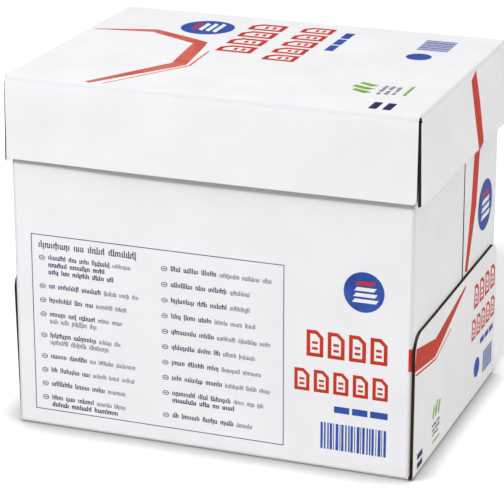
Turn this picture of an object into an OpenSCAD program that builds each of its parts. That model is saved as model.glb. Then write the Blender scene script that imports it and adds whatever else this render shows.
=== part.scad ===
// Lidded carton of copy paper: a folded board body with a telescoping lid and five wrapped reams.
// Origin at the centre of the footprint, on the surface it stands on. +X right, +Y back, +Z up.
// Both board pieces are drawn as the blanks they are cut from: flat panels joined by creases.

/* [Sheets] */
// Length of one sheet, along X
sheet_l = 297; // [260:1:340]
// Width of one sheet, along Y
sheet_w = 210; // [180:1:260]
// Height of the sheets in one ream
sheets_h = 52; // [48:0.5:60]

/* [Wrapper] */
// Thickness of the wrapper on the long faces
wrap_t = 0.4; // [0.2:0.1:0.8]
// Thickness of one folded layer of wrapper on the ends
wrap_layer_t = 0.3; // [0.2:0.05:0.5]
// Radius of the wrapped edges along X
wrap_edge_r = 1.2; // [0.6:0.1:3]
// How far the side ears are tucked in across the ends
ear_l = 45; // [25:1:60]
// Depth of the lower end fold, which covers the ears
lower_fold_h = 40; // [30:1:44]
// Depth of the upper end fold, glued down last
upper_fold_h = 44; // [30:1:46]

/* [Room] */
// Gap between the reams and the front and back walls
side_gap = 1.6; // [0.8:0.1:4]
// Gap between the reams and the end walls
end_gap = 0.7; // [0.4:0.1:3]
// Gap between the top ream and the lid
headroom = 1; // [0.5:0.1:6]

/* [Board] */
// Thickness of the corrugated board
board_t = 2.4; // [1.6:0.1:3.4]
// Inside radius of a crease
crease_r = 0.8; // [0.4:0.1:1.5]
// How much thinner and shorter the bends are pressed, on each side
crease_press = 0.05; // [0.03:0.01:0.1]
// How far a glued tab presses into the board it is glued to
glue_sink = 0.3; // [0.2:0.05:0.6]

/* [Body] */
// Height of the outer end flaps
end_flap_h = 111; // [70:1:170]
// Radius of the end flaps' top corners
end_flap_r = 14; // [4:1:30]
// How far the end flaps stop short of the front and back faces
end_flap_inset = 0.5; // [0.2:0.1:4]
// How far behind the middle the seam of the inner end flaps lies
seam_y = 15.6; // [-40:0.2:40]
// Gap of that seam at the rim
seam_gap_top = 1.8; // [0.6:0.1:4]
// Gap of that seam at the floor
seam_gap_foot = 4; // [0.6:0.1:6]

/* [Lid] */
// Gap between the body and the lid, on each side
lid_gap = 0.8; // [0.5:0.1:3]
// Drop of the front and back skirts
front_drop = 61.5; // [40:0.5:90]
// Drop of the end skirts
end_drop = 67.5; // [45:0.5:95]
// Angle at which the front and back skirts spread
front_flare = 1.6; // [0.2:0.1:2]
// Angle at which the end skirts spread
end_flare = 1.4; // [0.2:0.1:2.5]
// How far the ends of the front skirts stop short of the lid's sides
skirt_inset = 1.7; // [0.5:0.1:3]
// Length of the glued corner tabs
tab_l = 55; // [30:1:80]
// How far a tab's lower edge slants up from its crease
tab_rise = 9; // [2:0.5:20]
// Length of that slant along the tab
tab_rise_l = 10; // [4:0.5:40]
// Height of the open nick above each tab
tab_nick = 1.5; // [0.8:0.1:4]

/* [Hidden] */
$fn = 64;
ream_count = 5;
crease_out_r = crease_r + board_t;
// Degrees by which a bend runs on inside the panels it joins
crease_lap = 4;

ream_body_l = sheet_l + 2 * wrap_t;
ream_l = ream_body_l + 6 * wrap_layer_t;
ream_w = sheet_w + 2 * wrap_t;
ream_h = sheets_h + 2 * wrap_t;

body_in_l = ream_l + 2 * end_gap;
body_in_w = ream_w + 2 * side_gap;
body_l = body_in_l + 2 * board_t;
body_w = body_in_w + 2 * board_t;
rim_z = board_t + ream_count * ream_h + headroom;

tab_face_w = body_w + 2 * (lid_gap + board_t);
lid_l = body_l + 2 * (lid_gap + board_t);
lid_w = tab_face_w + 2 * (board_t - glue_sink) / cos(front_flare);
// The tabs lie in the plane of the front skirt: the slant of their creases and the angle they fold by
tab_slant = atan(cos(end_flare) * tan(front_flare));
tab_fold = acos(sin(end_flare) * sin(front_flare));

// A flat panel. Its inner face is at z = 0 and its outer face at z = board_t.
module panel() {
    linear_extrude(board_t) children();
}

// A bend that starts where a panel ends, runs along X from 0 to length and turns towards -Z.
// It is pressed a little thinner and shorter than the panels, and its ends lie inside them.
// The children are drawn in the frame of the next panel, which leads away along +Y.
module crease(length, angle) {
    translate([length - crease_press, 0, -crease_r])
        rotate([0, -90, 0])
            rotate([0, 0, -crease_lap])
                rotate_extrude(angle = angle + 2 * crease_lap)
                    translate([crease_r + crease_press, 0])
                        square([board_t - 2 * crease_press, length - 2 * crease_press]);
    translate([0, 0, -crease_r])
        rotate([-angle, 0, 0])
            translate([0, 0, crease_r])
                children();
}

// Draws the children as they are and mirrored across the plane square to the given direction
module both_sides(direction) {
    children();
    mirror(direction) children();
}

// A rectangle from 0 to depth along Y, centred on X, whose far corners are rounded
module rounded_flap(width, depth, r) {
    half = width / 2;
    translate([-half, 0]) square([width, depth - r]);
    translate([-half + r, 0]) square([width - 2 * r, depth]);
    both_sides([1, 0])
        translate([half - r, depth - r]) circle(r);
}

// One of the two inner flaps on an end of the body, hinged at the wall's end.
// x runs down the crease from the rim, and reach is its length at the rim.
module inner_flap(crease_l, reach) {
    taper = (seam_gap_foot - seam_gap_top) / 2;
    panel()
        polygon([[0, 0], [crease_l, 0], [crease_l, reach - taper], [0, reach]]);
}

// A long wall of the body with an inner flap at each end. x is centred, y runs up from the crease.
// seam_reach is how far each flap reaches towards the seam at the rim.
module long_wall(seam_reach) {
    wall_l = body_l - 2 * crease_out_r;
    wall_h = rim_z - crease_out_r;
    translate([-wall_l / 2, 0, 0])
        panel() square([wall_l, wall_h]);
    both_sides([1, 0, 0])
        translate([wall_l / 2, wall_h, 0])
            rotate([0, 0, -90])
                crease(wall_h, 90)
                    inner_flap(wall_h, seam_reach);
}

// The body's floor, with a strip at each end that carries the outer flap
module floor_outline() {
    wall_l = body_l - 2 * crease_out_r;
    wall_w = body_w - 2 * crease_out_r;
    flap_l = body_l + 2 * board_t - 2 * crease_out_r;
    flap_w = body_w - 2 * end_flap_inset;
    difference() {
        square([flap_l, flap_w], center = true);
        both_sides([0, 1])
            translate([-wall_l / 2, wall_w / 2])
                square([wall_l, flap_w]);
    }
}

module carton_body() {
    wall_l = body_l - 2 * crease_out_r;
    half_w = body_w / 2 - crease_out_r;
    flap_x = body_l / 2 + board_t - crease_out_r;
    flap_w = body_w - 2 * end_flap_inset;
    flap_reach = end_flap_h - crease_out_r;
    reach_front = half_w + seam_y - seam_gap_top / 2;
    reach_back = half_w - seam_y - seam_gap_top / 2;
    color([0.94, 0.94, 0.95])
        translate([0, 0, board_t])
            mirror([0, 0, 1]) {
                panel() floor_outline();
                translate([-wall_l / 2, half_w, 0])
                    crease(wall_l, 90)
                        translate([wall_l / 2, 0, 0])
                            long_wall(reach_back);
                mirror([0, 1, 0])
                    translate([-wall_l / 2, half_w, 0])
                        crease(wall_l, 90)
                            translate([wall_l / 2, 0, 0])
                                long_wall(reach_front);
                both_sides([1, 0, 0])
                    translate([flap_x, flap_w / 2, 0])
                        rotate([0, 0, -90])
                            crease(flap_w, 90)
                                translate([flap_w / 2, 0, 0])
                                    panel() rounded_flap(flap_w, flap_reach, end_flap_r);
            }
}

// A corner tab of the lid. x runs up its crease from the skirt's lower edge, y to its tip.
module tab(crease_l) {
    panel()
        polygon([[0, 0], [crease_l, 0], [crease_l, tab_l], [tab_rise, tab_l], [tab_rise, tab_rise_l]]);
}

// An end skirt of the lid with its two tabs. x is centred, y runs down from the crease.
module end_skirt() {
    half = tab_face_w / 2 - crease_out_r;
    drop = end_drop - crease_out_r;
    spread = drop * tan(tab_slant);
    crease_l = drop / cos(tab_slant) - tab_nick;
    panel()
        polygon([[-half, 0], [half, 0], [half + spread, drop], [-half - spread, drop]]);
    both_sides([1, 0, 0])
        translate([half + spread, drop, 0])
            rotate([0, 0, -90 - tab_slant])
                crease(crease_l, tab_fold)
                    tab(crease_l);
}

// The lid's top, with a strip at the front and back that carries the skirt
module top_outline() {
    flat_l = lid_l - 2 * crease_out_r;
    flat_w = lid_w - 2 * crease_out_r;
    end_w = tab_face_w - 2 * crease_out_r;
    skirt_l = lid_l - 2 * skirt_inset;
    difference() {
        square([skirt_l, flat_w], center = true);
        both_sides([1, 0])
            translate([flat_l / 2, -end_w / 2])
                square([skirt_l, end_w]);
    }
}

module carton_lid() {
    end_x = lid_l / 2 - crease_out_r;
    end_w = tab_face_w - 2 * crease_out_r;
    front_y = lid_w / 2 - crease_out_r;
    skirt_l = lid_l - 2 * skirt_inset;
    skirt_reach = front_drop - crease_out_r;
    color([0.97, 0.97, 0.98])
        translate([0, 0, rim_z]) {
            panel() top_outline();
            both_sides([1, 0, 0])
                translate([end_x, end_w / 2, 0])
                    rotate([0, 0, -90])
                        crease(end_w, 90 - end_flare)
                            translate([end_w / 2, 0, 0])
                                end_skirt();
            both_sides([0, 1, 0])
                translate([-skirt_l / 2, front_y, 0])
                    crease(skirt_l, 90 - front_flare)
                        panel() square([skirt_l, skirt_reach]);
        }
}

// Cross-section of a wrapped ream, square to X
module ream_section() {
    half = ream_w / 2 - wrap_edge_r;
    translate([-half, 0]) square([2 * half, ream_h]);
    translate([-ream_w / 2, wrap_edge_r]) square([ream_w, ream_h - 2 * wrap_edge_r]);
    for (side = [-1, 1], height = [wrap_edge_r, ream_h - wrap_edge_r])
        translate([side * half, height]) circle(wrap_edge_r);
}

// A fold of wrapper on a ream's end: a trapezium that narrows at 45 degrees from its crease
module end_fold(depth) {
    half = ream_w / 2 - wrap_edge_r;
    polygon([[-half, 0], [half, 0], [half - depth, depth], [-half + depth, depth]]);
}

module ears() {
    both_sides([1, 0])
        translate([ream_w / 2 - ear_l, wrap_edge_r])
            square([ear_l, ream_h - 2 * wrap_edge_r]);
}

module lower_fold() {
    end_fold(lower_fold_h);
}

module upper_fold() {
    translate([0, ream_h])
        mirror([0, 1])
            end_fold(upper_fold_h);
}

// The folded wrapper on one end, as thick as the folds that lie on each other. x is across, y is up.
module ream_end() {
    linear_extrude(wrap_layer_t) {
        ears();
        lower_fold();
        upper_fold();
    }
    linear_extrude(2 * wrap_layer_t) {
        intersection() { ears(); lower_fold(); }
        intersection() { ears(); upper_fold(); }
        intersection() { lower_fold(); upper_fold(); }
    }
    linear_extrude(3 * wrap_layer_t)
        intersection() { ears(); lower_fold(); upper_fold(); }
}

// A wrapped ream. level counts from 0 at the floor of the carton.
module ream(level) {
    color([0.98, 0.98, 0.97])
        translate([0, 0, board_t + level * ream_h]) {
            translate([-ream_body_l / 2, 0, 0])
                rotate([90, 0, 90])
                    linear_extrude(ream_body_l) ream_section();
            both_sides([1, 0, 0])
                translate([ream_body_l / 2, 0, 0])
                    rotate([90, 0, 90])
                        ream_end();
        }
}

carton_body();
carton_lid();
for (level = [0:ream_count - 1])
    ream(level);
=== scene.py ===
"""Looks of a lidded carton of copy paper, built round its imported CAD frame.

Both board pieces are folded from blanks with open flutes at their cut edges. The print is raised
ink of simple shapes. Lengths are millimetres in the row frame until a mesh is made.
"""
import math

import bpy
import numpy as np
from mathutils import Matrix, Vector


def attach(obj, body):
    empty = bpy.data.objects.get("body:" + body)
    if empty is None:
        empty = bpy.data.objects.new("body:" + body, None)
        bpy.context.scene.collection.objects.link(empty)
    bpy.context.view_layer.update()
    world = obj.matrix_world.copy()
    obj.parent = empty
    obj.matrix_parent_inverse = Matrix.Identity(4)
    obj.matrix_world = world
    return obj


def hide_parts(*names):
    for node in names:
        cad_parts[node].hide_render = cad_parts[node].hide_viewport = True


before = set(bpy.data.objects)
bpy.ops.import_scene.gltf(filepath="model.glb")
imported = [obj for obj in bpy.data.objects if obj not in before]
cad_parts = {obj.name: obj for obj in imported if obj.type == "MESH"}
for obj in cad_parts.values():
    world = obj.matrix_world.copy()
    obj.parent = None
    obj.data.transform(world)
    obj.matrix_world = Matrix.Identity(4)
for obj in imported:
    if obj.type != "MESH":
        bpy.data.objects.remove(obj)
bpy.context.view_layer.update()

# -------- sizes of the CAD part
MM = 0.001
BOARD_T, CREASE_R = 2.4, 0.8
CREASE_OUT_R = CREASE_R + BOARD_T
BODY_L, BODY_W, RIM_Z = 305.8, 218.8, 267.4
FLAP_H, FLAP_R, FLAP_INSET = 111, 14, 0.5
SEAM_Y, SEAM_GAP_TOP, SEAM_GAP_FOOT = 15.6, 1.8, 4
LID_L, LID_W = 312.2, 229.4
# 225.2 in the CAD, where the tabs and the long skirts are fused: here they just clear each other
TAB_FACE_W = 224.5
FRONT_DROP = 61.5
FRONT_FLARE, END_FLARE = math.radians(1.6), math.radians(1.4)
SKIRT_INSET = 1.7
TAB_L, TAB_RISE, TAB_RISE_L, TAB_NICK = 55, 9, 10, 1.5
REAM_BODY_L, REAM_W, REAM_H, REAM_EDGE_R = 297.8, 210.8, 52.8, 1.2
REAM_COUNT = 5

# -------- the board's make-up
LINER_T, MEDIUM_T, FLUTE_PITCH = 0.3, 0.24, 5.6
# how deep a cut edge opens between its liners: along the flutes, across them, where crushed
GROOVE_ALONG, GROOVE_ACROSS, GROOVE_CRUSHED = 1.2, 5, 0.4
# the medium's waves: clear of a corner, where they start and end in the groove, points to a flute,
# and how much thicker they look on their slopes
WAVE_CLEAR, WAVE_IN, WAVE_DEEP, WAVE_STEPS, WAVE_SLOPE_T = 0.3, 0.12, 4.6, 12, 0.55
GRID_STEP = 8
BEND_STEPS, BEND_SHARP = 8, 0.06
# points that agree to a 200th of a millimetre are one
WELDS_PER_MM = 200
# shares of one direction along another: mostly along it, and near enough straight on
MOSTLY, STRAIGHT_ON = 0.7, 0.9
MITRE_COS_MIN = -0.6
# material slots of the board; the second is near-black kraft that paints the shade in the gap at
# the lid's corners
COATED, GAP_SHADE_SKIN, INSIDE, CUT, GROOVE, MEDIUM, WHITE_LIP, FOLDED, LEVEL_CUT = range(9)

# -------- what the photo's carton has otherwise
# its end skirts are 3 mm shorter than the CAD's
END_DROP = 64.5
# how much higher the outer flaps' tops are at their front corners
FLAP_RISE = {-1: 8, 1: -1.5}
# how far back the left flap's front edge lies, at its foot and top
LEFT_FLAP_BACK = (6, 2.4)
# the long skirts' lower corners are worn off
CORNER_WEAR = 2.6
# the long skirts are glued off centre and askew: each end's inset at the top and at the lower edge
INSET_LEFT = (SKIRT_INSET + 1.1, SKIRT_INSET + 0.3)
INSET_RIGHT = (SKIRT_INSET - 0.9, SKIRT_INSET - 0.9)

X, Y, Z = np.eye(3)
QUARTER = math.pi / 2


def spaced(lo, hi, step=GRID_STEP):
    """Evenly spaced values from lo to hi, about step apart."""
    return np.linspace(lo, hi, max(2, int(round(abs(hi - lo) / step)) + 1))


def joined(*parts):
    """Sorted values of all parts, each once."""
    return np.unique(np.round(np.concatenate([np.atleast_1d(p) for p in parts]), 6))


def grid(a, b):
    return np.meshgrid(a, b, indexing="ij")


def unit(v):
    length = np.linalg.norm(v, axis=-1, keepdims=True)
    return v / np.where(length < 1e-9, 1, length)


def smooth(x, lo, hi):
    """0 up to lo and 1 from hi on, with an even passage between."""
    t = np.clip((x - lo) / (hi - lo), 0, 1)
    return t * t * (3 - 2 * t)


def placed(name, data):
    """A new object in the scene."""
    obj = bpy.data.objects.new(name, data)
    bpy.context.scene.collection.objects.link(obj)
    return obj


class Face:
    """The axes of a flat panel: x and y run in its inner face, n points out of its printed face."""

    def __init__(self, origin, x, y, n):
        self.o, self.x, self.y, self.n = (np.array(a, float) for a in (origin, x, y, n))

    def at(self, x, y, w=BOARD_T):
        x, y, w = np.broadcast_arrays(np.asarray(x, float), y, w)
        return self.o + x[..., None] * self.x + y[..., None] * self.y + w[..., None] * self.n

    def bent(self, x, angle, w=BOARD_T):
        x, angle, w = np.broadcast_arrays(np.asarray(x, float), angle, w)
        r = CREASE_R + w
        return (self.o + x[..., None] * self.x + (r * np.sin(angle))[..., None] * self.y
                + (r * np.cos(angle) - CREASE_R)[..., None] * self.n)

    def folded(self, angle):
        """The axes of the next panel, after a bend by angle round x."""
        c, s = math.cos(angle), math.sin(angle)
        return Face(self.o + CREASE_R * (s * self.y + (c - 1) * self.n), self.x,
                    c * self.y - s * self.n, s * self.y + c * self.n)


def bend_thickness(turn, angle):
    """A scored bend stands a little fuller in its middle than a true round."""
    return BOARD_T * (1 + BEND_SHARP * np.sin(math.pi * turn / angle) ** 2)


class Blank:
    """A folded blank of corrugated board, made of grids that share their border points."""

    def __init__(self):
        self.outer, self.inner, self.uv = [], [], []
        self.quads, self.flutes, self.skins, self.crushed = [], [], [], []
        self.count = 0

    def add(self, outer, inner, flute_axis, across, along, skin=COATED, crushed=False):
        """The flutes follow flute_axis of the grid. across and along are the pattern's place."""
        m, n = outer.shape[:2]
        ids = np.arange(m * n).reshape(m, n) + self.count
        a, b, c, d = ids[:-1, :-1], ids[1:, :-1], ids[1:, 1:], ids[:-1, 1:]
        normal = np.cross(outer[-1, -1] - outer[0, 0], outer[0, -1] - outer[-1, 0])
        out = outer[m // 2, n // 2] - inner[m // 2, n // 2]
        quads = np.stack([a, b, c, d], -1).reshape(-1, 4)
        if normal @ out < 0:
            quads = quads[:, ::-1]
        ends = (a, b) if flute_axis == 0 else (a, d)
        self.flutes.append(np.stack(ends, -1).reshape(-1, 2))
        self.quads.append(quads)
        self.skins.append(np.full(len(quads), skin))
        self.crushed.append(np.full(len(quads), crushed))
        self.outer.append(outer.reshape(-1, 3))
        self.inner.append(inner.reshape(-1, 3))
        across, along = np.broadcast_arrays(across, along)
        self.uv.append(np.stack([across.reshape(-1), along.reshape(-1)], -1))
        self.count += m * n

    def panel(self, face, x, y, flute_axis):
        across, along = (y, x) if flute_axis == 0 else (x, y)
        self.add(face.at(x, y), face.at(x, y, 0), flute_axis, across, along)

    def bend(self, face, x, angle, flute_axis, shade_patch=None):
        """A bend along x. The last argument, if given, puts painted shade on its printed side:
        near-black kraft between two angles, past an x.
        """
        x, turn = grid(x, np.linspace(0, angle, BEND_STEPS + 1))
        outer, inner = face.bent(x, turn, bend_thickness(turn, angle)), face.bent(x, turn, 0)
        whole = slice(None)
        patches = [(whole, whole, FOLDED)]
        if shade_patch is not None:
            first, last = (int(round(BEND_STEPS * a / angle)) for a in shade_patch[:2])
            low = int(np.sum(x[:, 0] < shade_patch[2] - 0.01))
            middle = slice(first, last + 1)
            patches = [(whole, slice(0, first + 1), FOLDED), (whole, slice(last, None), FOLDED),
                       (slice(0, low + 1), middle, FOLDED), (slice(low, None), middle, GAP_SHADE_SKIN)]
        for rows, part, skin in patches:
            self.add(outer[rows, part], inner[rows, part], flute_axis, turn[rows, part] / angle,
                     x[rows, part], skin, True)

    def mesh(self, name, deform, seed):
        """Closed mesh: printed skin, inner skin, grooved cut edges and the medium in them."""
        outer, inner, uv = (np.concatenate(a) for a in (self.outer, self.inner, self.uv))
        quads, flutes, skins = (np.concatenate(a) for a in (self.quads, self.flutes, self.skins))
        crushed = np.concatenate(self.crushed)
        key = np.round(np.hstack([outer, inner]) * WELDS_PER_MM).astype(int)
        _, first, index = np.unique(key, axis=0, return_index=True, return_inverse=True)
        index = index.reshape(-1)
        outer, inner = deform(outer[first]), deform(inner[first])
        corners, quads, flutes = uv[quads], index[quads], index[flutes]
        m = MeshParts(name)
        top = m.points(outer)
        under = m.points(inner)
        for skin in (COATED, GAP_SHADE_SKIN, FOLDED):
            m.faces(quads[skins == skin] + top, skin, corners[skins == skin])
        m.faces(quads[:, ::-1] + under, INSIDE, corners[:, ::-1])
        starts, ends = quads.reshape(-1), np.roll(quads, -1, 1).reshape(-1)
        owner = np.repeat(np.arange(len(quads)), 4)
        have = set(zip(starts.tolist(), ends.tolist()))
        follow = {a: (b, q) for a, b, q in zip(starts.tolist(), ends.tolist(), owner.tolist())
                  if (b, a) not in have}
        rng = np.random.default_rng(seed)
        while follow:
            loop, faces = [], []
            a = next(iter(follow))
            while a in follow:
                b, q = follow.pop(a)
                loop.append(a)
                faces.append(q)
                a = b
            self.edge(m, loop, faces, quads, flutes, crushed, outer, inner, top, under, rng)
        return m.build(BOARD)

    def edge(self, m, loop, faces, quads, flutes, crushed, outer, inner, top, under, rng):
        """The cut edge along one border loop."""
        loop, faces = np.array(loop), np.array(faces)
        here, there, back = outer[loop], outer[np.roll(loop, -1)], inner[loop]
        run = unit(there - here)
        inward = outer[quads[faces]].mean(1) - (here + there) / 2
        inward = unit(inward - (inward * run).sum(1, keepdims=True) * run)
        through = unit(back - here)
        inward = unit(inward - (inward * through).sum(1, keepdims=True) * through)
        flute = unit(outer[flutes[faces, 1]] - outer[flutes[faces, 0]])
        crossing = (np.abs((flute * run).sum(1)) < MOSTLY) & ~crushed[faces]
        # edges that run level, like the flaps' tops, get cut-edge kraft painted lighter than
        # upright ones: painted light, as from above
        level = np.abs(inward[:, 2]) > MOSTLY
        depth = np.where(crossing, GROOVE_ACROSS, GROOVE_ALONG)
        depth[crushed[faces]] = GROOVE_CRUSHED
        in_before, depth_before = (np.roll(a, 1, 0) for a in (inward, depth))
        cos = np.clip((in_before * inward).sum(1, keepdims=True), MITRE_COS_MIN, 1)
        mitre = (in_before + inward) / (1 + cos)
        depth = np.minimum(depth, depth_before)[:, None]
        lip = LINER_T * through
        rows = [here + lip, here + lip + mitre * depth, back - lip + mitre * depth, back - lip]
        ids = [loop + top] + [np.arange(len(loop)) + m.points(r) for r in rows] + [loop + under]
        strips = [np.stack([np.roll(a, -1), a, b, np.roll(b, -1)], -1)
                  for a, b in zip(ids, ids[1:])]
        m.faces(strips[0], WHITE_LIP)
        # between the liners and at the inner lip the kraft is painted far darker than the board's
        # inside: painted shade for the hollow flutes
        for strip in strips[1:-1]:
            m.faces(strip[crossing], GROOVE)
            m.faces(strip[~crossing & level], LEVEL_CUT)
            m.faces(strip[~crossing & ~level], CUT)
        m.faces(strips[-1], CUT)
        self.waves(m, here, there, back, mitre, crossing, run, rng)

    def waves(self, m, here, there, back, mitre, crossing, run, rng):
        """The fluted medium, seen end on along each straight stretch that crosses the flutes."""
        n, k = len(here), 0
        while k < n:
            if not crossing[k]:
                k += 1
                continue
            stop = k
            while stop + 1 < n and crossing[stop + 1] and run[stop + 1] @ run[stop] > STRAIGHT_ON:
                stop += 1
            ids = np.arange(k, stop + 2) % n
            line = here[ids]
            line[-1] = there[stop]
            wave(m, line, back[ids], mitre[ids], rng)
            k = stop + 1


def wave(m, line, back, into, rng):
    """A length of medium between the liners of a cut edge. into points into the board."""
    s = np.concatenate([[0], np.cumsum(np.linalg.norm(np.diff(line, axis=0), axis=1))])
    if s[-1] < FLUTE_PITCH:
        return
    t = np.linspace(WAVE_CLEAR, s[-1] - WAVE_CLEAR, max(4, int(s[-1] / FLUTE_PITCH * WAVE_STEPS)))
    point, over, into = (np.stack([np.interp(t, s, a[:, i]) for i in range(3)], -1)
                         for a in (line, back, into))
    turn = 2 * math.pi * t / FLUTE_PITCH + rng.uniform(0, 2 * math.pi)
    level = BOARD_T / 2 + (BOARD_T / 2 - LINER_T - MEDIUM_T / 2) * np.sin(turn)
    half = MEDIUM_T / 2 * (1 + WAVE_SLOPE_T * np.abs(np.cos(turn)))
    through = unit(over - point)
    start = [m.points(point + through * (level + h)[:, None] + into * d)
             for h, d in ((-half, WAVE_IN), (half, WAVE_IN), (half, WAVE_DEEP), (-half, WAVE_DEEP))]
    count = np.arange(len(t) - 1)
    for a, b in zip(start, start[1:] + start[:1]):
        a, b = a + count, b + count
        m.faces(np.stack([a, a + 1, b + 1, b], -1), MEDIUM)
    for j, order in ((0, 1), (len(t) - 1, -1)):
        m.faces([[p + j for p in start][::order]], MEDIUM)


class MeshParts:
    """Collects points and faces of one object."""

    def __init__(self, name):
        self.name, self.p, self.f, self.m, self.uv, self.n = name, [], [], [], [], 0

    def points(self, p):
        start = self.n
        self.p.append(np.asarray(p, float).reshape(-1, 3))
        self.n += len(self.p[-1])
        return start

    def faces(self, f, material, uv=None):
        for k, face in enumerate(np.asarray(f).tolist()):
            self.f.append(face)
            self.m.append(material)
            self.uv.append([(0, 0)] * len(face) if uv is None else uv[k])

    def build(self, materials):
        mesh = bpy.data.meshes.new(self.name)
        points = np.concatenate(self.p) * MM
        mesh.from_pydata(points.tolist(), [], self.f)
        for material in materials:
            mesh.materials.append(material)
        mesh.polygons.foreach_set("material_index", self.m)
        uv = np.concatenate([np.asarray(u, float).reshape(-1) for u in self.uv])
        mesh.uv_layers.new(name="flat_mm").data.foreach_set("uv", uv)
        mesh.validate(verbose=False)
        mesh.update()
        return placed(self.name, mesh)


# -------- how hand-folded board leaves the true plane
# the |y| or |x| over which a point comes to count as part of a wall or skirt, and their spans
BODY_WALL, BODY_END, BODY_SPAN = (103, 107.5), (148, 152), (306, 219)
LID_SKIRT, LID_END, LID_SPAN = (108.5, 110.5), (153, 155), (312, 229)
SWELL_TOP, WALL_SWELL, END_SWELL = 205, 0.55, 0.35
# how much nearer the wall a long skirt's ends lie, and from which |x|
SKIRT_NEARER = ((-1, 2, 30), (1, 0.9, 20))
END_SKIRT_NEARER, TOP_DIP, TOP_MIDDLE_DIP = 0.1, 0.12, 0.35


def arch(x, span):
    """1 at the middle of a span and 0 at its ends."""
    return np.cos(math.pi * np.clip(x / span, -0.5, 0.5))


def sag_body(p):
    """The walls swell a little round the reams below the lid."""
    p = p.copy()
    x, y, z = p.T
    height = np.sin(math.pi * np.clip(z / SWELL_TOP, 0, 1)) ** 2
    side = smooth(np.abs(y), *BODY_WALL) * np.sign(y)
    p[:, 1] += side * WALL_SWELL * height * arch(x, BODY_SPAN[0]) ** 1.5
    end = smooth(np.abs(x), *BODY_END) * np.sign(x)
    p[:, 0] += end * END_SWELL * height * arch(y, BODY_SPAN[1])
    return p


def sag_lid(p):
    """The long skirts lie nearer the walls at their ends, most so at the left, and the top dips."""
    p = p.copy()
    x, y, z = p.T
    skirt = smooth(np.abs(y), *LID_SKIRT) * np.sign(y) * smooth(RIM_Z - z, 0, 60)
    p[:, 1] -= skirt * sum(by * smooth(way * x, start, 150) for way, by, start in SKIRT_NEARER)
    p[:, 0] -= END_SKIRT_NEARER * smooth(np.abs(x), *LID_END) * np.sign(x)
    middle = arch(x, LID_SPAN[0]) * arch(y, LID_SPAN[1])
    p[:, 2] -= (TOP_DIP + TOP_MIDDLE_DIP * middle) * smooth(z, RIM_Z - 1, RIM_Z)
    return p


# -------- the body's blank
WALL_L, WALL_H = BODY_L - 2 * CREASE_OUT_R, RIM_Z - CREASE_OUT_R
WALL_Y = BODY_W / 2 - CREASE_OUT_R
FLAP_X, FLAP_HALF = BODY_L / 2 + BOARD_T - CREASE_OUT_R, BODY_W / 2 - FLAP_INSET


def floor_fold(along, out, reach):
    """The floor panel at one of its folds, with y pointing out across it."""
    return Face(reach * out + BOARD_T * Z, along, out, -Z)


def wall_face(side):
    """Front (-1) or back (1) wall: x along the row's X, y upwards."""
    return floor_fold(X, side * Y, WALL_Y).folded(QUARTER)


def outer_flap_face(end):
    """Left (-1) or right (1) outer end flap: x along the row's Y, y upwards."""
    return floor_fold(Y, end * X, FLAP_X).folded(QUARTER)


def inner_flap_face(end, side):
    """Inner flap at an end, hung on the front or back wall: x down from the rim, y to the seam."""
    wall = wall_face(side)
    return Face(wall.at(end * WALL_L / 2, WALL_H, 0), -wall.y, end * wall.x, wall.n)


def flap_y(end, y, share):
    """A flap's y at a share of its height: the left one is glued further back at the front."""
    if end > 0:
        return y
    foot, top = LEFT_FLAP_BACK
    return y + (foot + (top - foot) * share) * smooth(-y, 60, FLAP_HALF)


def inner_flap(blank, end, side, down):
    """Hangs on its wall's grid, whose points lie at these distances down from the rim."""
    hinge = inner_flap_face(end, side)
    blank.bend(hinge, down, QUARTER, 0)
    reach = WALL_Y - side * SEAM_Y - SEAM_GAP_TOP / 2
    taper = (SEAM_GAP_FOOT - SEAM_GAP_TOP) / 2
    gx, share = grid(down, np.linspace(0, 1, 14))
    blank.panel(hinge.folded(QUARTER), gx, share * (reach - taper * gx / WALL_H), 0)


def outer_flap(blank, end, ys):
    """Round at its upper corners. ys are where its grid has points."""
    blank.bend(floor_fold(Y, end * X, FLAP_X), flap_y(end, ys, 0), QUARTER, 0)
    reach = FLAP_H - CREASE_OUT_R + FLAP_RISE[end] * smooth(-ys, -60, 100)
    over = np.clip(np.abs(ys) - (FLAP_HALF - FLAP_R), 0, FLAP_R)
    top = reach - FLAP_R + np.sqrt(FLAP_R ** 2 - over ** 2)
    gx, share = grid(ys, np.linspace(0, 1, 15))
    blank.panel(outer_flap_face(end), flap_y(end, gx, share), share * top[:, None], 0)


def body_blank():
    blank = Blank()
    xs, hs = spaced(-WALL_L / 2, WALL_L / 2), spaced(0, WALL_H)
    long_xs = joined(-FLAP_X, xs, FLAP_X)
    arc = FLAP_HALF - FLAP_R + FLAP_R * np.sin(np.linspace(0, QUARTER, 10))
    flat = spaced(-(FLAP_HALF - FLAP_R), FLAP_HALF - FLAP_R)
    ys = joined(flat, arc, -arc, WALL_Y, -WALL_Y)
    gx, gy = grid(long_xs, ys[np.abs(ys) < WALL_Y + 1e-6])
    gy[0] = flap_y(-1, gy[0], 0)
    blank.panel(Face((0, 0, BOARD_T), X, Y, -Z), gx, gy, 1)
    for side in (-1, 1):
        # the wall's foot runs on under its end folds, up to the outer flaps
        blank.bend(floor_fold(X, side * Y, WALL_Y), long_xs, QUARTER, 1)
        blank.panel(wall_face(side), *grid(xs, hs), 1)
        for end in (-1, 1):
            inner_flap(blank, end, side, (WALL_H - hs)[::-1])
    for end in (-1, 1):
        outer_flap(blank, end, ys)
    return blank


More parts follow.
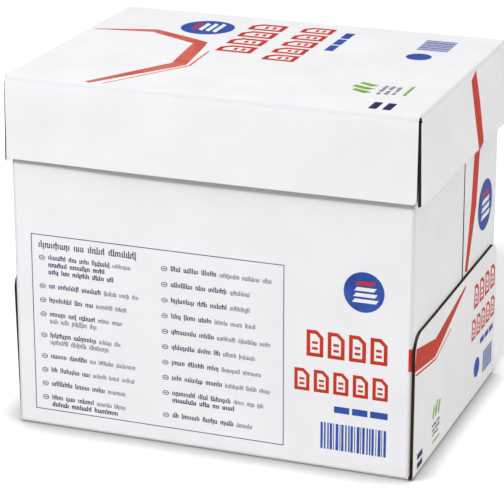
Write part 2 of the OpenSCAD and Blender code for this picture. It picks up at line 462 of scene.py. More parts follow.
# -------- the lid's blank
END_X, END_HALF = LID_L / 2 - CREASE_OUT_R, TAB_FACE_W / 2 - CREASE_OUT_R
SKIRT_Y = LID_W / 2 - CREASE_OUT_R
SKIRT_LEFT, SKIRT_RIGHT = INSET_LEFT[0] - LID_L / 2, LID_L / 2 - INSET_RIGHT[0]
FRONT_TURN, END_TURN = QUARTER - FRONT_FLARE, QUARTER - END_FLARE
TAB_SLANT = math.atan(math.cos(END_FLARE) * math.tan(FRONT_FLARE))
TAB_FOLD = math.acos(math.sin(END_FLARE) * math.sin(FRONT_FLARE))
# where a tab's fold gets painted shade, near-black kraft for the shadow in the gap beside the long
# skirt's end: from one angle to another, and how far up that starts
TAB_SHADE_PATCH = (math.radians(22), math.radians(66), 1)
TOP = Face((0, 0, RIM_Z), X, Y, Z)


def top_fold(along, out, reach):
    """The lid's top at one of its folds, with y pointing out across it."""
    return Face(reach * out + RIM_Z * Z, along, out, Z)


def skirt_face(side):
    """Front (-1) or back (1) skirt: x along the row's X, y downwards."""
    return top_fold(X, side * Y, SKIRT_Y).folded(FRONT_TURN)


def end_skirt_face(end):
    """Left (-1) or right (1) end skirt: x along the row's Y, y downwards."""
    return top_fold(Y, end * X, END_X).folded(END_TURN)


def long_skirt(blank, side, xs):
    """A long skirt, askew and with worn lower corners, and the strip of top beside its fold."""
    blank.panel(TOP, *grid(xs, [side * END_HALF, side * SKIRT_Y]), 1)
    blank.bend(top_fold(X, side * Y, SKIRT_Y), xs, FRONT_TURN, 1)
    reach = FRONT_DROP - CREASE_OUT_R
    gx, gy = grid(xs, joined(spaced(0, reach), reach - CORNER_WEAR))
    for rows, insets, way in (((0, 1, 2), INSET_LEFT, -1), ((-1, -2, -3), INSET_RIGHT, 1)):
        for k in rows:
            gx[k] += way * (insets[0] - insets[1]) * gy[k] / reach
    from_end = np.minimum(xs - SKIRT_LEFT, SKIRT_RIGHT - xs)
    worn = CORNER_WEAR * (1 - np.clip(from_end / CORNER_WEAR, 0, 1)) ** 2
    gy[:, -1] -= 0.8 * worn
    blank.panel(skirt_face(side), gx, gy, 1)


def end_skirt(blank, end, ys):
    """An end skirt that widens downwards, and the corner tabs folded from its slanted ends."""
    sin, cos, tan = (f(TAB_SLANT) for f in (math.sin, math.cos, math.tan))
    drop = END_DROP - CREASE_OUT_R
    down = joined(spaced(TAB_NICK * cos, drop), 0, drop - TAB_SHADE_PATCH[2] * cos)
    blank.bend(top_fold(Y, end * X, END_X), ys, END_TURN, 0)
    skirt = end_skirt_face(end)
    gx, gy = grid(ys / END_HALF, down)
    blank.panel(skirt, gx * (END_HALF + gy * tan), gy, 0)
    # the tab's crease starts at the lower edge and stops short of the top, at the open nick
    crease = (drop - down[down > 0.1][::-1]) / cos
    length = crease[-1]
    for side in (-1, 1):
        corner = skirt.at(side * (END_HALF + drop * tan), drop, 0)
        up = -sin * side * skirt.x - cos * skirt.y
        hinge = Face(corner, up, cos * side * skirt.x - sin * skirt.y, skirt.n)
        blank.bend(hinge, crease, TAB_FOLD, 1, TAB_SHADE_PATCH)
        gx, gy = grid(crease, joined(spaced(0, TAB_L), TAB_RISE_L))
        low = TAB_RISE * np.minimum(gy / TAB_RISE_L, 1)
        blank.panel(hinge.folded(TAB_FOLD), low + gx * (length - low) / length, gy, 1)


def lid_blank():
    blank = Blank()
    xs = joined(spaced(-END_X, END_X), SKIRT_LEFT + CORNER_WEAR, SKIRT_RIGHT - CORNER_WEAR)
    ys = spaced(-END_HALF, END_HALF)
    blank.panel(TOP, *grid(xs, ys), 1)
    for side in (-1, 1):
        long_skirt(blank, side, np.concatenate([[SKIRT_LEFT], xs, [SKIRT_RIGHT]]))
    for end in (-1, 1):
        end_skirt(blank, end, ys)
    return blank


# -------- ink: thin closed slabs on the board
# ink stands this much above the board, more for each layer, and reaches this far into it
INK_LIFT, INK_OVER, INK_SUNK = 0.05, 0.03, 0.06
PRINT_STEP = 12
RED, BLUE, NAVY, GREEN, GREY, WHITE, THIN_RED = range(7)
# a word's ticks: their heights, how many reach below the line and how far, how many join the next
TICK_HEIGHTS, BELOW_CHANCE, TICK_BELOW, BRIDGE_CHANCE = [1, 1, 1, 1.45], 0.06, -0.35, 0.6


class Ink:
    """Printed shapes of one object. A shape is placed on a face by an origin and two directions."""

    def __init__(self, name, deform):
        self.parts, self.deform, self.layer = MeshParts(name), deform, 0

    def slab(self, face, points, faces, ink, place=None):
        """points are (x, y) on the face, or what place takes. faces index them, one way round."""
        points, place = np.asarray(points, float), place or face.at
        x, y = points.T
        levels = BOARD_T + INK_LIFT + INK_OVER * self.layer, BOARD_T - INK_SUNK
        top, low = (self.parts.points(self.deform(place(x, y, level))) for level in levels)
        right_way = np.cross(face.x, face.y) @ face.n > 0
        edges = {}
        for f in faces:
            a, b, c = (points[i] for i in f[:3])
            turn = (b[0] - a[0]) * (c[1] - a[1]) - (b[1] - a[1]) * (c[0] - a[0])
            f = list(f) if (turn > 0) == right_way else list(f)[::-1]
            self.parts.faces([[top + i for i in f]], ink)
            self.parts.faces([[low + i for i in f[::-1]]], ink)
            for i, j in zip(f, f[1:] + f[:1]):
                edges[(i, j)] = True
        for i, j in edges:
            if (j, i) not in edges:
                self.parts.faces([[top + j, top + i, low + i, low + j]], ink)

    def strip(self, face, left, right, ink):
        """A band between two lines of as many points."""
        n = len(left)
        faces = [[i, i + 1, n + i + 1, n + i] for i in range(n - 1)]
        self.slab(face, list(left) + list(right), faces, ink)

    def on_bend(self, face, x0, x1, start, stop, ink):
        """A patch on a square bend, from x0 to x1 along it and from one angle to another."""
        n = 5
        turns = np.linspace(start, stop, n + 1)
        faces = [[i, i + 1, n + 2 + i, n + 1 + i] for i in range(n)]
        self.slab(face, [(x, a) for x in (x0, x1) for a in turns], faces, ink,
                  lambda x, a, w: face.bent(x, a, w - BOARD_T + bend_thickness(a, QUARTER)))

    def build(self):
        return self.parts.build(INKS)


class Spot:
    """A drawing's own axes on a face: its origin and the directions of its x and y."""

    def __init__(self, ink, face, x, y, right=(1, 0), up=(0, 1)):
        self.ink, self.face = ink, face
        self.o, self.r, self.u = (np.array(a, float) for a in ((x, y), right, up))

    def on_face(self, points):
        p = np.asarray(points, float)
        return self.o + p[:, :1] * self.r + p[:, 1:] * self.u

    def slab(self, points, faces, colour):
        self.ink.slab(self.face, self.on_face(points), faces, colour)

    def strip(self, left, right, colour):
        self.ink.strip(self.face, self.on_face(left), self.on_face(right), colour)


def box(spot, x, y, w, h, colour):
    spot.slab([(x, y), (x + w, y), (x + w, y + h), (x, y + h)], [[0, 1, 2, 3]], colour)


def bar(spot, x, y, w, h, colour):
    """A box in short lengths, so that it follows the board."""
    xs = np.linspace(x, x + w, max(1, int(w / PRINT_STEP)) + 1)
    spot.strip([(a, y) for a in xs], [(a, y + h) for a in xs], colour)


def frame_line(spot, x, y, w, h, t, colour):
    """A thin rectangle outline."""
    for foot in (y, y + h - t):
        bar(spot, x, foot, w, t, colour)
    ys = np.linspace(y + t, y + h - t, max(1, int(h / PRINT_STEP)) + 1)
    for a in (x, x + w - t):
        spot.strip([(a, b) for b in ys], [(a + t, b) for b in ys], colour)


def disc(spot, x, y, rx, ry, colour, hole=0, steps=40):
    """A disc, or a ring with hole as the share that is open."""
    turn = np.linspace(0, 2 * math.pi, steps + 1)[:-1]
    rings = [hole, (1 + hole) / 2, 1] if hole else [0.35, 0.7, 1]
    points = [(x + s * rx * math.cos(a), y + s * ry * math.sin(a)) for s in rings for a in turn]
    faces = [[k * steps + i, k * steps + (i + 1) % steps, (k + 1) * steps + (i + 1) % steps,
              (k + 1) * steps + i] for k in range(2) for i in range(steps)]
    if not hole:
        faces.append(list(range(steps))[::-1])
    spot.slab(points, [f[::-1] for f in faces], colour)


def dash_word(spot, x, y, ticks, height, rng, colour, weight):
    """A word that can't be read: upright ticks of uneven height. Gives the word's length."""
    pitch, wide, bridge = (0.26 + 0.8 * weight) * height, weight * height, 0.8 * weight * height
    for k in range(ticks):
        tall = height * rng.choice(TICK_HEIGHTS)
        foot = TICK_BELOW * height if rng.random() < BELOW_CHANCE else 0
        box(spot, x + k * pitch, y + foot, wide, tall - foot, colour)
        if rng.random() < BRIDGE_CHANCE and k + 1 < ticks:
            level = y + rng.choice([0, height - bridge])
            box(spot, x + k * pitch + wide, level, pitch - wide, bridge, colour)
    return ticks * pitch


def dash_line(spot, x, y, width, height, rng, colour, weight=0.27):
    """A line of such words. weight is a stroke's share of the height. Gives the line's length."""
    at = x
    while at < x + width - 3 * height:
        ticks = min(int(rng.integers(4, 16)), int((x + width - at) / (0.48 * height)) + 1)
        at += dash_word(spot, at, y, ticks, height, rng, colour, weight) + 0.75 * height
    return at - x


def page(spot, x, y, w, h):
    """A sheet in thick outline, with a turned corner and two lines on it."""
    t, c = 0.22 * w, 0.38 * w
    right, top, cut = x + w, y + h, c + 0.4 * t
    outline = [(x, y), (right, y), (right, top - c), (right - c, top), (x, top), (x, y)]
    inside = [(x + t, y + t), (right - t, y + t), (right - t, top - cut), (right - cut, top - t),
              (x + t, top - t), (x + t, y + t)]
    spot.strip(outline, inside, RED)
    for k in range(2):
        bar(spot, x + 1.5 * t, y + h * (0.26 + 0.22 * k), w - 3 * t, 0.1 * h, RED)


def page_row(spot, x, y, count, w, h, gap):
    for k in range(count):
        page(spot, x + k * (w + gap), y, w, h)


def emblem(spot, x, y, r):
    """A full disc that shows a small stack of sheets, the top one red."""
    disc(spot, x, y, r, r, BLUE)
    spot.ink.layer = 1
    for k in range(4):
        low, half, lean = y + r * (0.29 * k - 0.52), r * (0.58 - 0.05 * k), 0.14 * r
        high = low + 0.18 * r
        sheet = [(x - half, low), (x + half, low), (x + half + lean, high), (x - half + lean, high)]
        spot.slab(sheet, [[0, 1, 2, 3]], RED if k == 3 else WHITE)
    spot.ink.layer = 0


def stripes(spot, x, y, w, h):
    """Upright stripes whose widths follow a sine formula."""
    at, k = x, 0
    while at < x + w - 0.4:
        wide = min(0.6 + 0.75 * (1 + math.sin(2.7 * k + 0.6)), x + w - at)
        box(spot, at, y, wide, h, BLUE)
        at += wide + 0.55 + 0.35 * (1 + math.sin(1.9 * k))
        k += 1


def ribbon(ink, face, points, widths, colour):
    """A band along a broken line, mitred at its bends and as wide as widths say at each point."""
    p, w = np.array(points, float), np.array(widths, float)
    fine, fine_w = [], []
    for a, b, wa, wb in zip(p[:-1], p[1:], w[:-1], w[1:]):
        n = max(1, int(np.linalg.norm(b - a) / 8))
        t = np.arange(n) / n
        fine += list(a + (b - a) * t[:, None])
        fine_w += list(wa + (wb - wa) * t)
    fine.append(p[-1])
    fine_w.append(w[-1])
    fine, fine_w = np.array(fine), np.array(fine_w)
    run = unit(np.gradient(fine, axis=0))
    across = np.stack([-run[:, 1], run[:, 0]], -1) * fine_w[:, None] / 2
    ink.strip(face, [tuple(q) for q in fine + across], [tuple(q) for q in fine - across], colour)


COLUMN_W = 86
# each note's further lines, from the top of a column down
LEFT_NOTES, RIGHT_NOTES = (2, 0, 0, 1, 1, 0, 0, 0, 1), (0, 0, 0, 0, 0, 0, 0, 0, 1, 0)


def info_panel(spot, rng):
    """A ruled box with two columns of notes that can't be read."""
    frame_line(spot, -139, 13, 197, 138.5, 0.65, GREY)
    dash_line(spot, -133, 141.5, 78, 3.7, rng, GREY, 0.25)
    foot, step = 22, 5.6
    for left, top, notes in ((-133, 132.5, LEFT_NOTES), (-36, 136, RIGHT_NOTES)):
        pitch = (top - foot - step * sum(notes[:-1])) / (len(notes) - 1)
        at, text = top, left + 7.5
        for further in notes:
            disc(spot, left + 2.4, at + 1.2, 2.5, 1.9, GREY, hole=0.72, steps=16)
            bar(spot, left + 1.3, at + 0.8, 2.2, 0.8, GREY)
            bold = COLUMN_W * rng.uniform(0.4, 0.6)
            x = text + dash_line(spot, text, at, bold, 2.75, rng, NAVY)
            rest = left + COLUMN_W * rng.uniform(0.84, 1) - x
            dash_line(spot, x, at, rest, 2.5, rng, GREY, 0.19)
            for k in range(further):
                colour, weight = (NAVY, 0.3) if further == 2 or rng.random() < 0.5 else (GREY, 0.19)
                width = COLUMN_W * rng.uniform(0.4, 0.72)
                dash_line(spot, text, at - step * (k + 1), width, 2.75, rng, colour, weight)
            at -= pitch + step * further


def panel_art(spot):
    """The main motif: emblem, rows of sheets, a short line and stripes."""
    emblem(spot, 52, 123, 15)
    page_row(spot, 10, 70, 4, 12.6, 20, 3.2)
    page_row(spot, 1, 43, 5, 11.4, 17, 3.2)
    for k in range(3):
        bar(spot, 31 + 13.5 * k, 29, 11.5 if k < 2 else 13, 5, BLUE)
    stripes(spot, 21, 0, 50, 20.5)


def lid_print():
    """The top's print is read from the right end: its up is towards -X."""
    ink = Ink("lid_print", sag_lid)
    turned = dict(right=(0, 1), up=(-1, 0))
    spot = Spot(ink, TOP, 0, 0, **turned)
    emblem(spot, 70, 70, 21)
    page_row(spot, 8, 12, 4, 18.5, 28, 4.2)
    page_row(spot, -4, -26, 5, 17, 25, 4.2)
    for k in range(3):
        bar(spot, 36 + 19 * k, -43, 16.5, 7, BLUE)
    stripes(spot, 62, -124, 30, 24)
    disc(spot, 42, -108, 9.5, 9.5, BLUE)
    green_mark(Spot(ink, TOP, 108, -52, **turned), 1.3, np.random.default_rng(11))
    for k in range(2):
        bar(spot, -102, -131 + 10 * k, 17, 6, NAVY)
    wide_band = [(-150, 36), (-104, 47), (-58, 25), (-50, -38), (-92, -108)]
    ribbon(ink, TOP, wide_band, [1.5, 8, 11, 12, 5], THIN_RED)
    ribbon(ink, TOP, [(-43, 4), (-41, -40), (-80, -107)], [1.2, 1.8, 1.2], THIN_RED)
    ribbon(ink, end_skirt_face(1), [(20, 1), (31, 28), (43, 61)], [13, 15, 13], RED)
    return ink.build()


def green_mark(spot, scale, rng):
    """Three lean green blades, the middle one tallest, over short grey lines."""
    for k, taller in enumerate((0, 2, 0)):
        x = (-8 + 7 * k) * scale
        points = [(x, 2 * scale), (x + 5 * scale, (13 + taller) * scale),
                  (x + 1.5 * scale, (14 + taller) * scale), (x - 3 * scale, 6 * scale)]
        spot.slab(points, [[0, 1, 2, 3]], GREEN)
    for k in range(3):
        x, y = (-11 + k) * scale, (-3 - 4 * k) * scale
        dash_line(spot, x, y, 22 * scale, 1.9 * scale, rng, GREY)
    bar(spot, -9 * scale, -17 * scale, 19 * scale, 1.8 * scale, GREEN)


def flap_print(ink, end, rng):
    """Print on an outer flap. Its drawings' y is measured from the ground."""
    flap = outer_flap_face(end)
    clear = 0 if end > 0 else LEFT_FLAP_BACK[0]
    at = lambda x, y: Spot(ink, flap, end * (x - clear), y - CREASE_OUT_R, right=(end, 0))
    spot = at(0, 0)
    page_row(spot, 44, 76, 4, 12.6, 19, 3.2)
    page_row(spot, 40, 51, 5, 11, 17, 2.8)
    for k in range(3):
        bar(spot, 66 + 13 * k, 40, 11, 4.6, BLUE)
    disc(spot, 58, 24, 8, 8, BLUE)
    stripes(spot, 76, 12, 27, 18)
    green_mark(at(-52, 25), 0.95, rng)
    for k in range(2):
        bar(spot, -99, 5 + 7 * k, 13, 4.5, NAVY)
    for points, widths in ((((-108.5, 92), (-60, 84), (18, 104)), (17, 14, 2)),
                           (((-107, 80.5), (-58, 74.5), (-20, 84)), (1.5, 1.5, 1))):
        ribbon(ink, flap, [(end * x, y - CREASE_OUT_R) for x, y in points], widths, RED)


def body_print():
    ink = Ink("body_print", sag_body)
    rng = np.random.default_rng(7)
    for side in (-1, 1):
        # the wall's y starts a crease above the floor; on the back wall x runs the other way
        wall, right = wall_face(side), (-side, 0)
        info_panel(Spot(ink, wall, 0, -CREASE_OUT_R, right), rng)
        panel_art(Spot(ink, wall, -65 * side, 15.5 - CREASE_OUT_R, right))
    for end in (-1, 1):
        flap_print(ink, end, rng)
        # the flap's band runs on round the corner of the wall beside it
        ink.on_bend(inner_flap_face(end, -end), RIM_Z - 100.5, RIM_Z - 83.5, 0.2, 1.1, RED)
        # on an inner flap x runs down from the rim and y runs from the wall towards the seam
        back = inner_flap_face(end, end).folded(QUARTER)
        band = [(RIM_Z - z, WALL_Y - y) for z, y in ((203, 49), (160, 43), (112.5, 26))]
        ribbon(ink, back, band, [15, 15, 7], RED)
        emblem(Spot(ink, back, RIM_Z - 150, WALL_Y - 76, right=(0, -1), up=(-1, 0)), 0, 0, 20)
    return ink.build()


# -------- reams
RIPPLES, SIDE_SINK, TOP_SINK, TOP_CROWN = 5, 0.22, 0.1, 0.3
# levels of the folds over a ream's end, and how far they stay clear of its long edges
FOLD_FOOT, EAR_LEVEL, LOWER_LEVEL, UPPER_LEVEL, FOLD_CLEAR = -0.05, 0.28, 0.58, 0.88, 0.4
# the print's height over the top ream's flat top, which is crowned
PRINT_CLEAR = 0.35


def ream_loop():
    """Closed section of a wrapped ream with its long sides cut into short steps."""
    half, r, h = REAM_W / 2, REAM_EDGE_R, REAM_H
    turns = np.linspace(0, QUARTER, 5)
    centres = ((half - r, r), (half - r, h - r), (r - half, h - r), (r - half, r))
    arcs = [[(y + r * math.cos(a), z + r * math.sin(a)) for a in (k - 1) * QUARTER + turns]
            for k, (y, z) in enumerate(centres)]
    points = []
    for arc, after in zip(arcs, arcs[1:] + arcs[:1]):
        a, b = np.array(arc[-1]), np.array(after[0])
        n = int(np.linalg.norm(b - a) / 7)
        points += arc + [tuple(a + (b - a) * i / n) for i in range(1, n)]
    return np.array(points)


def ream_pack(level):
    """A wrapped ream with its sides sunk a little between their edges and folded ends."""
    rng = np.random.default_rng(40 + level)
    base = BOARD_T + level * REAM_H
    m = MeshParts(f"ream_{level + 1}_pack")
    loop, xs = ream_loop(), spaced(-REAM_BODY_L / 2, REAM_BODY_L / 2, 9)
    n = len(loop)
    waves = [(rng.uniform(0.012, 0.05), rng.uniform(0.02, 0.12), rng.uniform(0, 6.28))
             for _ in range(RIPPLES)]
    rows = []
    for x in xs:
        y, z = loop.T
        ripple = sum(np.sin(a * x + b * (y + 2 * z) + c) for a, b, c in waves) / RIPPLES
        on_side = np.abs(y / (REAM_W / 2)) > 0.985
        on_top = ((z - REAM_H / 2) / (REAM_H / 2) > 0.97) & ~on_side
        sink = np.where(on_side, SIDE_SINK, TOP_SINK) * (1 + ripple) / 2
        edge = smooth(REAM_BODY_L / 2 - abs(x), 0, 14)
        y = y - np.sign(y) * np.where(on_side, sink * edge, 0)
        crown = TOP_CROWN * edge * arch(y, REAM_W) if level == REAM_COUNT - 1 else 0
        z = z + np.where(on_top, crown - sink * edge, 0)
        rows.append(m.points(np.stack([np.full(n, x), y, z + base], -1)))
    k = np.arange(n)
    for a, b in zip(rows[:-1], rows[1:]):
        m.faces(np.stack([a + k, b + k, b + (k + 1) % n, a + (k + 1) % n], -1)[:, ::-1], 0)
    m.faces([(rows[0] + k).tolist()[::-1]], 0)
    m.faces([(rows[-1] + k).tolist()], 0)
    for end in (-1, 1):
        folded_end(m, Face((end * REAM_BODY_L / 2, 0, base), Y, Z, end * X), rng)
    return m.build([WRAPPER])


def folded_end(m, face, rng):
    """Two ears with the lower and the upper fold over them, each cut slanting at its sides."""
    half, r = REAM_W / 2 - REAM_EDGE_R, REAM_EDGE_R
    ear = 45 + rng.uniform(-2, 2)
    low, high = 40 + rng.uniform(-1.5, 1.5), 44 + rng.uniform(-1.5, 1.5)
    skew = rng.uniform(-0.6, 0.6)
    for s in (-1, 1):
        edge, top = half + r - ear, REAM_H - r
        ear_shape = [(s * half, r), (s * edge, r), (s * (edge + skew), top), (s * half, top)]
        fold(m, face, ear_shape, EAR_LEVEL)
    foot, top = FOLD_CLEAR, REAM_H - FOLD_CLEAR
    for at, deep, y, level in ((foot, low, low, LOWER_LEVEL), (top, high, top - high, UPPER_LEVEL)):
        fold(m, face, [(-half, at), (half, at), (half - deep, y), (deep - half, y + skew)], level)


def fold(m, face, outline, level):
    """One fold of wrapper as a thin closed slab, from just inside the ream's end up to a level."""
    x, y = np.array(outline, float).T
    a, b = m.points(face.at(x, y, FOLD_FOOT)), m.points(face.at(x, y, level))
    area = np.sum(x * np.roll(y, -1) - np.roll(x, -1) * y)
    way = 1 if (area > 0) == (np.cross(face.x, face.y) @ face.n > 0) else -1
    ids = list(range(len(x)))[::way]
    m.faces([[b + i for i in ids]], 0)
    m.faces([[a + i for i in ids[::-1]]], 0)
    for i, j in zip(ids, ids[1:] + ids[:1]):
        m.faces([[a + i, a + j, b + j, b + i]], 0)


def top_ream_print():
    """Bands, an emblem, sheets and a few lines on the top ream, the only one whose print shows."""
    ink = Ink(f"ream_{REAM_COUNT}_print", lambda p: p)
    rng = np.random.default_rng(74)
    wrapper_z = BOARD_T + REAM_COUNT * REAM_H + PRINT_CLEAR
    top = Face((0, 0, wrapper_z - BOARD_T - INK_LIFT), X, Y, Z)
    spot = Spot(ink, top, 0, 0)
    for x, w, colour in ((-118, 26, BLUE), (-88, 5, RED)):
        ribbon(ink, top, [(x, -96), (x, 96)], [w, w], colour)
    emblem(spot, -20, 40, 26)
    page_row(spot, 20, 28, 4, 17, 26, 4)
    for k in range(5):
        dash_line(spot, -60, -20 - 9 * k, 160, 3.2, rng, NAVY)
    return ink.build()


# -------- materials
# the part of a noise's range that its colours and gloss follow
CLOUD = (0.3, 0.7)
# noises of the white liner: scale, detail, roughness
BOARD_CLOUD, BOARD_FIBRE = (26, 4, 0.55), (420, 3, 0.6)


def linear(*rgb):
    """sRGB 0 to 255 to linear with alpha."""
    one = lambda s: s / 12.92 if s <= 0.04045 else ((s + 0.055) / 1.055) ** 2.4
    return tuple(one(c / 255) for c in rgb) + (1,)


class Nodes:
    """The tree of a material or world, built a node at a time."""

    def __init__(self, owner, shader="Principled BSDF"):
        owner.use_nodes = True
        self.owner, self.tree = owner, owner.node_tree
        self.shader = self.tree.nodes[shader]

    def feed(self, socket, value):
        """Links another node's output to a socket, or sets the socket's own value."""
        if isinstance(value, bpy.types.NodeSocket):
            self.tree.links.new(value, socket)
        else:
            socket.default_value = value

    def set(self, name, value):
        self.feed(self.shader.inputs[name], value)

    def add(self, kind, inputs=(), **settings):
        node = self.tree.nodes.new(kind)
        for k, v in settings.items():
            setattr(node, k, v)
        for k, v in dict(inputs).items():
            self.feed(node.inputs[k], v)
        return node

    def camera_ray(self):
        """1 for what the camera sees, 0 for light on its way elsewhere."""
        return self.add("ShaderNodeLightPath").outputs["Is Camera Ray"]

    def flat_x(self):
        """The flat pattern's x: across the flutes, or a bend's share."""
        flat = self.add("ShaderNodeUVMap", uv_map="flat_mm").outputs["UV"]
        return self.add("ShaderNodeSeparateXYZ", {"Vector": flat}).outputs["X"]

    def noise(self, scale, detail=3, rough=0.5):
        place = self.add("ShaderNodeTexCoord").outputs["Object"]
        inputs = {"Vector": place, "Scale": scale, "Detail": detail, "Roughness": rough}
        return self.add("ShaderNodeTexNoise", inputs).outputs["Fac"]

    def span(self, value, low, high, a=0, b=1):
        """Value from low to high becomes a to b."""
        inputs = {"Value": value, "From Min": low, "From Max": high, "To Min": a, "To Max": b}
        return self.add("ShaderNodeMapRange", inputs).outputs["Result"]

    def ramp(self, value, low, high, a, b):
        """Value from low to high becomes colour a to b."""
        mix = self.add("ShaderNodeMix", data_type="RGBA")
        # a colour mix has its factor, A and B at these places
        for socket, v in ((0, self.span(value, low, high)), (6, a), (7, b)):
            self.feed(mix.inputs[socket], v)
        return mix.outputs[2]

    def cloudy(self, cloud, a, b):
        return self.ramp(cloud, *CLOUD, a, b)

    def math(self, kind, a, b=0):
        return self.add("ShaderNodeMath", {0: a, 1: b}, operation=kind).outputs[0]

    def finish(self, colour, cloud, rough, relief, depth, specular, strength=1):
        """Gives the material its look. depth is the relief's, in metres."""
        self.set("Base Color", colour)
        self.set("Roughness", self.span(cloud, *CLOUD, *rough))
        inputs = {"Height": relief, "Distance": depth, "Strength": strength}
        self.set("Normal", self.add("ShaderNodeBump", inputs).outputs["Normal"])
        self.set("Specular IOR Level", specular)
        return self.owner


def coated_board():
    """White clay-coated liner: cloudy, faintly ribbed by the flutes, with fine fibre."""
    n = Nodes(bpy.data.materials.new("board_white"))
    cloud, fibre, fleck = n.noise(*BOARD_CLOUD), n.noise(*BOARD_FIBRE), n.noise(900, 2, 0.6)
    ribs = n.math("SINE", n.math("MULTIPLY", n.flat_x(), 2 * math.pi / FLUTE_PITCH))
    relief = n.math("ADD", n.math("MULTIPLY", ribs, 0.5), fibre)
    colour = n.ramp(fleck, 0.66, 0.78, n.cloudy(cloud, *WHITES), WHITE_FLECK)
    return n.finish(colour, cloud, (0.52, 0.66), relief, 0.00002, 0.25)


def folded_board():
    """The same liner on a scored bend, greyer along the middle: painted shade that keeps the bend,
    which faces the lamps, from lighting up brighter than the panels beside it.
    """
    n = Nodes(bpy.data.materials.new("board_fold_painted_shade"))
    middle_shade = n.math("SINE", n.math("MULTIPLY", n.flat_x(), math.pi))
    cloud, fibre = n.noise(*BOARD_CLOUD), n.noise(*BOARD_FIBRE)
    colour = n.ramp(middle_shade, 0, 1, n.cloudy(cloud, *WHITES), FOLD_MIDDLE_SHADE)
    return n.finish(colour, cloud, (0.56, 0.7), fibre, 0.00003, 0.2)


def mottled(name, dark, light, clouds, grain, grain_range, rough, depth, specular):
    """Clouds of two colours, with a finer grain of the light one."""
    n = Nodes(bpy.data.materials.new(name))
    cloud, fine = n.noise(clouds), n.noise(*grain)
    dark, light = linear(*dark), linear(*light)
    colour = n.ramp(fine, *grain_range, n.cloudy(cloud, dark, light), light)
    return n.finish(colour, cloud, rough, fine, depth, specular)


def kraft(name, dark, light, grain=320):
    """Brown unbleached board with long fibres."""
    return mottled(name, dark, light, 40, (grain, 5, 0.65), (0.35, 0.65), (0.8, 0.95), 0.00006, 0.2)


def ink_material(name, full, thin):
    """Offset ink with small light pores."""
    return mottled(name, full, thin, 60, (1400, 2, 0.7), (0.62, 0.8), (0.45, 0.58), 0.00001, 0.3)


def wrapper():
    """Smooth ream wrapper with soft creases."""
    n = Nodes(bpy.data.materials.new("wrapper_white"))
    cloud, crease = n.noise(18), n.noise(70, 6, 0.62)
    colour = n.cloudy(cloud, linear(243, 243, 241), linear(250, 250, 249))
    return n.finish(colour, crease, (0.38, 0.55), crease, 0.0006, 0.5, 0.35)


WHITES = linear(244, 244, 247), linear(249, 249, 251)
# fibre flecks of the white liner, and the painted shade along the middle of every bend
WHITE_FLECK, FOLD_MIDDLE_SHADE = linear(232, 231, 232), linear(221, 221, 224)
# in the order of the board's material slots
BOARD = [coated_board(),
         # near-black kraft: painted shade on the tabs' folds, for the gap beside the long skirts'
         # ends
         kraft("board_painted_gap_shade", (20, 13, 11), (46, 29, 23)),
         kraft("board_kraft_inside", (168, 128, 90), (188, 148, 106)),
         # the cut edges' kraft, their grooves and the medium are painted far darker than the
         # inside's kraft: painted shade for the hollow flutes
         kraft("board_cut_lip", (38, 30, 26), (66, 53, 44), 600),
         kraft("board_groove", (20, 15, 13), (34, 26, 22)),
         kraft("board_medium", (42, 31, 25), (68, 51, 40), 700),
         kraft("board_white_lip", (104, 96, 90), (136, 128, 120), 600),
         folded_board(),
         # the cut-edge kraft again, painted lighter for edges that run level: painted light from
         # above
         kraft("board_level_edge", (64, 53, 46), (96, 80, 68), 600)]
# in the order of RED to THIN_RED
INKS = [ink_material(*row) for row in (
    ("ink_red", (200, 44, 20), (208, 60, 34)),
    ("ink_blue", (38, 70, 160), (58, 92, 178)),
    ("ink_navy", (28, 28, 82), (50, 52, 104)),
    ("ink_green", (112, 168, 52), (146, 192, 84)),
    ("ink_grey", (62, 64, 84), (86, 88, 106)),
    ("bare_white", (244, 244, 247), (249, 249, 251)),
    ("ink_thin_red", (206, 78, 62), (222, 118, 104)))]
WRAPPER = wrapper()
SHARP_FROM = math.radians(32)


def on(body, obj, slot, *nodes):
    """Sets obj's shading, body and the CAD nodes that it stands for. slot is not used."""
    mesh = obj.data
    mesh.polygons.foreach_set("use_smooth", [True] * len(mesh.polygons))
    mesh.set_sharp_from_angle(angle=SHARP_FROM)
    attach(obj, body)
    if nodes:
        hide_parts(*nodes)


on("carton", body_blank().mesh("body_shell", sag_body, 3), "carton_board", "carton_body")
on("lid", lid_blank().mesh("lid_shell", sag_lid, 5), "carton_board", "carton_lid")
on("carton", body_print(), "carton_board")
on("lid", lid_print(), "carton_board")
for level in range(REAM_COUNT):
    on("carton", ream_pack(level), "ream_wrapper", f"ream_{level + 1}")
on("carton", top_ream_print(), "ream_wrapper")


# -------- floor, light and camera
FLOOR_HALF = 9
FLOOR_BOUNCE = linear(188, 188, 188)
FLOOR_SHADE, FLOOR_CLEAR = linear(168, 168, 170), linear(247, 247, 247)
# the contact shade's reach in front of the carton and beside its right end, and the x's between
SHADE_REACH, SHADE_NARROWS = (0.037, 0.019), (0.12, 0.175)
FLOOR_GLOW, AMBIENT = 0.24, 0.2
CAMERA_PLACE = (0.5885, -1.5896, 0.7156)
CAMERA_YAW, CAMERA_PITCH = math.radians(20.55), math.radians(19.27)


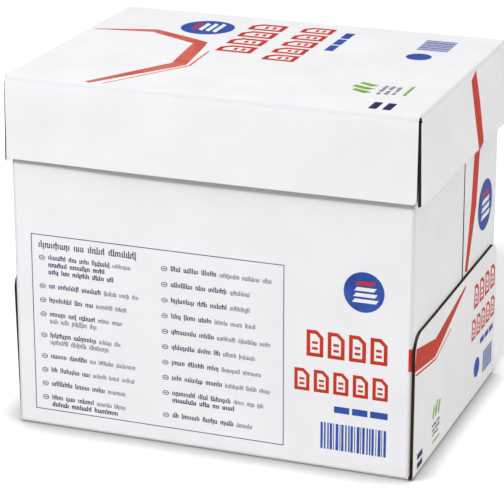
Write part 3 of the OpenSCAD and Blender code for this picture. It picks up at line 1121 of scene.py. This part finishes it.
def studio_floor():
    """White to the camera, with a soft shade round what stands on it, and duller to other light."""
    mesh = bpy.data.meshes.new("floor")
    h = FLOOR_HALF
    mesh.from_pydata([(-h, -h, 0), (h, -h, 0), (h, h, 0), (-h, h, 0)], [], [(0, 1, 2, 3)])
    n = Nodes(bpy.data.materials.new("floor_white"))
    n.set("Roughness", 0.9)
    n.set("Specular IOR Level", 0)
    ray = n.camera_ray()
    place = n.add("ShaderNodeNewGeometry").outputs["Position"]
    x = n.add("ShaderNodeSeparateXYZ", {"Vector": place}).outputs["X"]
    reach = n.span(x, *SHADE_NARROWS, *SHADE_REACH)
    clear = n.add("ShaderNodeAmbientOcclusion", {"Distance": reach}, samples=16).outputs["AO"]
    seen = n.ramp(clear, 0.5, 0.95, FLOOR_SHADE, FLOOR_CLEAR)
    n.set("Base Color", n.ramp(ray, 0, 1, FLOOR_BOUNCE, seen))
    n.set("Emission Color", (1, 1, 1, 1))
    n.set("Emission Strength", n.math("MULTIPLY", ray, n.math("MULTIPLY", clear, FLOOR_GLOW)))
    mesh.materials.append(n.owner)
    floor = placed("floor", mesh)


def studio_world():
    """White where the camera sees it, and a weak even light for everything else."""
    world = bpy.data.worlds.new("studio")
    bpy.context.scene.world = world
    n = Nodes(world, "Background")
    n.set("Color", (1, 1, 1, 1))
    n.set("Strength", n.span(n.camera_ray(), 0, 1, AMBIENT, 1))


def aim(obj, direction):
    """Turns a lamp or camera to look along a direction."""
    obj.rotation_mode = "QUATERNION"
    obj.rotation_quaternion = direction.to_track_quat("-Z", "Y")


def softbox(name, place, target, width, height, power, colour=(1, 1, 1)):
    lamp = bpy.data.lights.new(name, "AREA")
    lamp.shape, lamp.size, lamp.size_y = "RECTANGLE", width, height
    lamp.energy, lamp.color = power, colour
    obj = placed(name, lamp)
    obj.location = place
    aim(obj, Vector(target) - Vector(place))


def sunlight(name, came_from, strength, spread):
    """Light as from far away. spread is the angle across its source."""
    lamp = bpy.data.lights.new(name, "SUN")
    lamp.energy, lamp.angle = strength, math.radians(spread)
    aim(placed(name, lamp), -Vector(came_from))


def photo_camera():
    """The view fitted to sixteen corners of the carton in the photo."""
    data = bpy.data.cameras.new("camera")
    data.sensor_width, data.lens = 36, 169.7
    camera = placed("camera", data)
    camera.location = CAMERA_PLACE
    aim(camera, Vector((-math.sin(CAMERA_YAW) * math.cos(CAMERA_PITCH),
                        math.cos(CAMERA_YAW) * math.cos(CAMERA_PITCH), -math.sin(CAMERA_PITCH))))
    bpy.context.scene.camera = camera


studio_floor()
studio_world()
sunlight("key", (0.02, -1, 0.89), 1.36, 7)
sunlight("overhead", (0, 0.05, 1), 0.92, 70)
softbox("front_left", (-0.95, -1.15, 1.3), (0, 0, 0.2), 0.7, 0.7, 11.5)
softbox("side", (2.9, -0.1, 0.75), (0, 0, 0.13), 1.2, 0.8, 35, (1, 0.99, 0.95))
photo_camera()
bpy.context.scene.view_settings.view_transform = "Standard"
